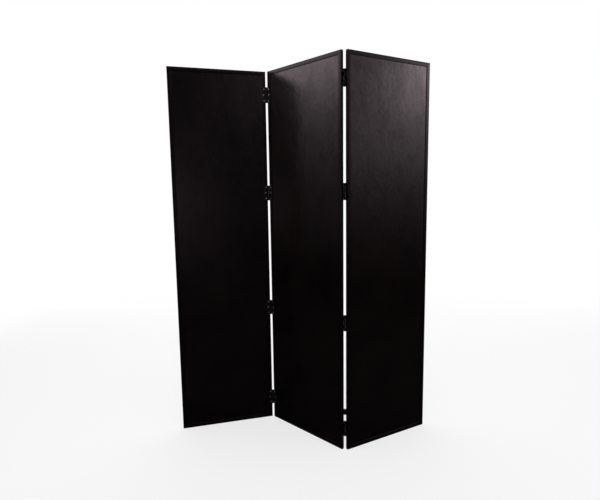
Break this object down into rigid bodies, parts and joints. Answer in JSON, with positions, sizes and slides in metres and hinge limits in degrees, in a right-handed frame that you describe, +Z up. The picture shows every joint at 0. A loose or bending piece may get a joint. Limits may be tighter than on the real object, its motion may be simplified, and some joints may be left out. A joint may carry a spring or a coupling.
{
  "type": "folding screen",
  "caption": "Free-standing folding screen of tall framed panels in dark satin lacquer, hinged on alternate faces so that it stands in a zigzag and folds flat.",
  "frame": {"origin": "middle of the middle panel's foot, on the floor", "axes": "+Z up; +X from the left panel's free edge towards the right panel's, along the zigzag; +Y from the front of the screen to its back"},
  "size_m": [1.2626, 0.3585, 1.829],
  "materials": {
    "frame_lacquer": "satin black-brown lacquer",
    "field_lacquer": "semi-gloss black-brown lacquer",
    "hinge_black": "blackened steel",
    "pin_steel": "dulled steel",
    "screw_brass": "tarnished brass"
  },
  "bodies": {
    "middle_panel": {"left_seam_bottom_hinge_inner_leaf": "hinge_black", "left_seam_lower_hinge_inner_leaf": "hinge_black", "left_seam_top_hinge_inner_leaf": "hinge_black", "left_seam_upper_hinge_inner_leaf": "hinge_black", "middle_panel_board": "field_lacquer", "middle_panel_bottom_rail": "frame_lacquer", "middle_panel_corner_keys": "frame_lacquer", "middle_panel_left_seam_hinge_screws": "screw_brass", "middle_panel_left_stile": "frame_lacquer", "middle_panel_right_seam_hinge_screws": "screw_brass", "middle_panel_right_stile": "frame_lacquer", "middle_panel_top_rail": "frame_lacquer", "right_seam_bottom_hinge_inner_leaf": "hinge_black", "right_seam_lower_hinge_inner_leaf": "hinge_black", "right_seam_short_hinge_inner_leaf": "hinge_black", "right_seam_top_hinge_inner_leaf": "hinge_black", "right_seam_upper_hinge_inner_leaf": "hinge_black"},
    "left_panel": {"left_panel_board": "field_lacquer", "left_panel_bottom_rail": "frame_lacquer", "left_panel_corner_keys": "frame_lacquer", "left_panel_left_seam_hinge_screws": "screw_brass", "left_panel_left_stile": "frame_lacquer", "left_panel_right_stile": "frame_lacquer", "left_panel_top_rail": "frame_lacquer", "left_seam_bottom_hinge_outer_leaf": "hinge_black", "left_seam_bottom_hinge_pin": "pin_steel", "left_seam_lower_hinge_outer_leaf": "hinge_black", "left_seam_lower_hinge_pin": "pin_steel", "left_seam_top_hinge_outer_leaf": "hinge_black", "left_seam_top_hinge_pin": "pin_steel", "left_seam_upper_hinge_outer_leaf": "hinge_black", "left_seam_upper_hinge_pin": "pin_steel"},
    "right_panel": {"right_panel_board": "field_lacquer", "right_panel_bottom_rail": "frame_lacquer", "right_panel_corner_keys": "frame_lacquer", "right_panel_left_stile": "frame_lacquer", "right_panel_right_seam_hinge_screws": "screw_brass", "right_panel_right_stile": "frame_lacquer", "right_panel_top_rail": "frame_lacquer", "right_seam_bottom_hinge_outer_leaf": "hinge_black", "right_seam_bottom_hinge_pin": "pin_steel", "right_seam_lower_hinge_outer_leaf": "hinge_black", "right_seam_lower_hinge_pin": "pin_steel", "right_seam_short_hinge_outer_leaf": "hinge_black", "right_seam_short_hinge_pin": "pin_steel", "right_seam_top_hinge_outer_leaf": "hinge_black", "right_seam_top_hinge_pin": "pin_steel", "right_seam_upper_hinge_outer_leaf": "hinge_black", "right_seam_upper_hinge_pin": "pin_steel"}
  },
  "joints": [
    {"name": "left_fold", "type": "hinge", "parent": "middle_panel", "child": "left_panel", "pos_m": [-0.17943, 0.16316, 0.9145], "axis": [0, 0, 1], "range_deg": [-77, 120.5]},
    {"name": "right_fold", "type": "hinge", "parent": "middle_panel", "child": "right_panel", "pos_m": [0.17943, -0.16316, 0.9145], "axis": [0, 0, 1], "range_deg": [-90.5, 107]}
  ]
}
